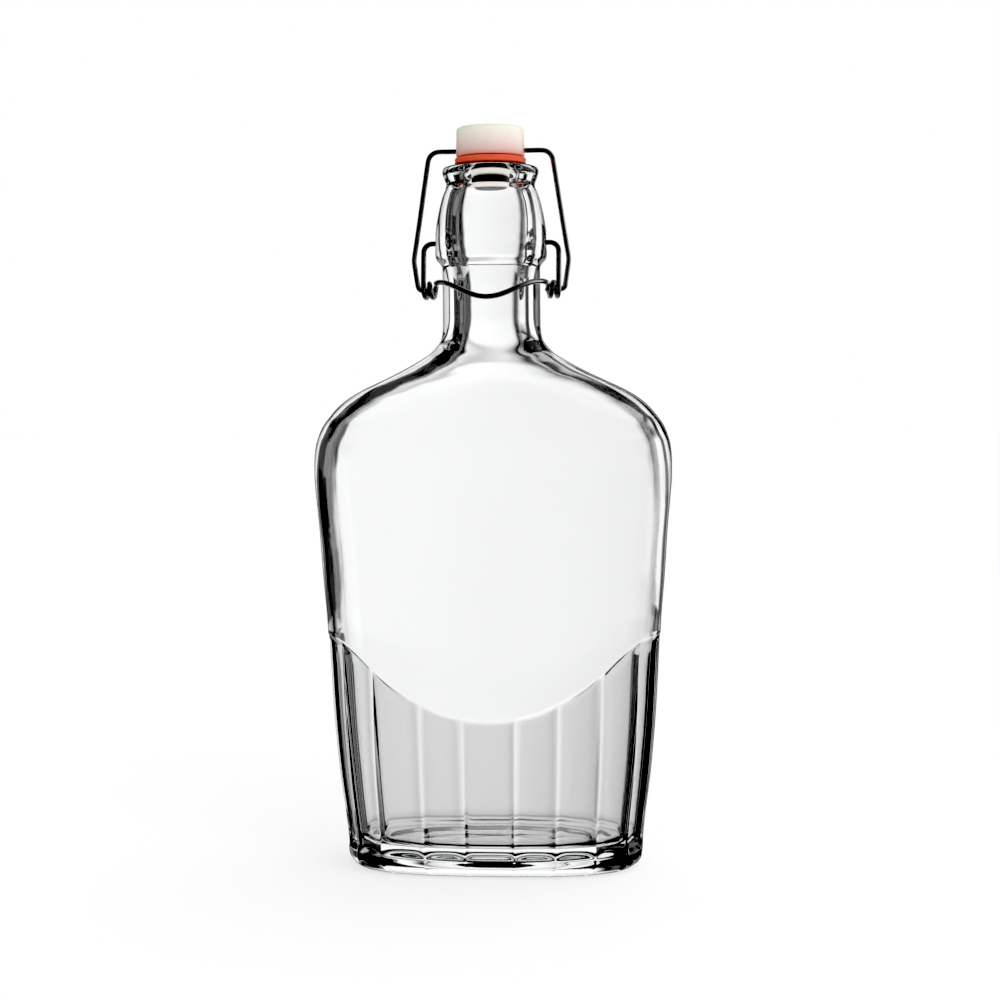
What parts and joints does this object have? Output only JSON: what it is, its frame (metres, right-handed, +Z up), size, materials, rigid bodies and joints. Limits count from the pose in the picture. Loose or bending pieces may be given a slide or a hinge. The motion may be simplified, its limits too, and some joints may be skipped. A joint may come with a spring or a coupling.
{
  "type": "swing-top glass flask bottle",
  "caption": "Flattened clear glass flask with fluted lower body and a lever-operated wire swing-top stopper with rubber gasket.",
  "frame": {"origin": "centre of the base, on the plane the bottle stands on", "axes": "+Z up through the mouth, X across the broad faces (the closure's pivots run along X), -Y the front face where the lever hangs"},
  "size_m": [0.1092, 0.0524, 0.225],
  "materials": {
    "glass": "clear soda-lime bottle glass, fire polished",
    "lever_steel": "drawn stainless wire",
    "bail_steel": "drawn stainless wire",
    "stopper_plastic": "moulded milky white food-grade plastic",
    "gasket_rubber": "soft orange-red rubber, matte"
  },
  "bodies": {
    "flask_body": {"bottle": "glass"},
    "lever": {"lever_wire": "lever_steel"},
    "bail": {"bail_wire": "bail_steel"},
    "closure_head": {"stopper": "stopper_plastic", "gasket": "gasket_rubber"}
  },
  "joints": [
    {"name": "lever_pivot", "type": "hinge", "parent": "flask_body", "child": "lever", "pos_m": [0, 0, 0.1902], "axis": [-1, 0, 0], "range_deg": [0, 90]},
    {"name": "bail_pivot", "type": "hinge", "parent": "lever", "child": "bail", "pos_m": [0, 0, 0.176], "axis": [-1, 0, 0], "range_deg": [-64, 0]},
    {"name": "stopper_pivot", "type": "hinge", "parent": "bail", "child": "closure_head", "pos_m": [0, 0, 0.218], "axis": [-1, 0, 0], "range_deg": [-28, 0]}
  ],
  "couplings": [
    {"joint": "bail_pivot", "follows": "lever_pivot", "ratio": -0.7},
    {"joint": "stopper_pivot", "follows": "lever_pivot", "ratio": -0.3}
  ]
}
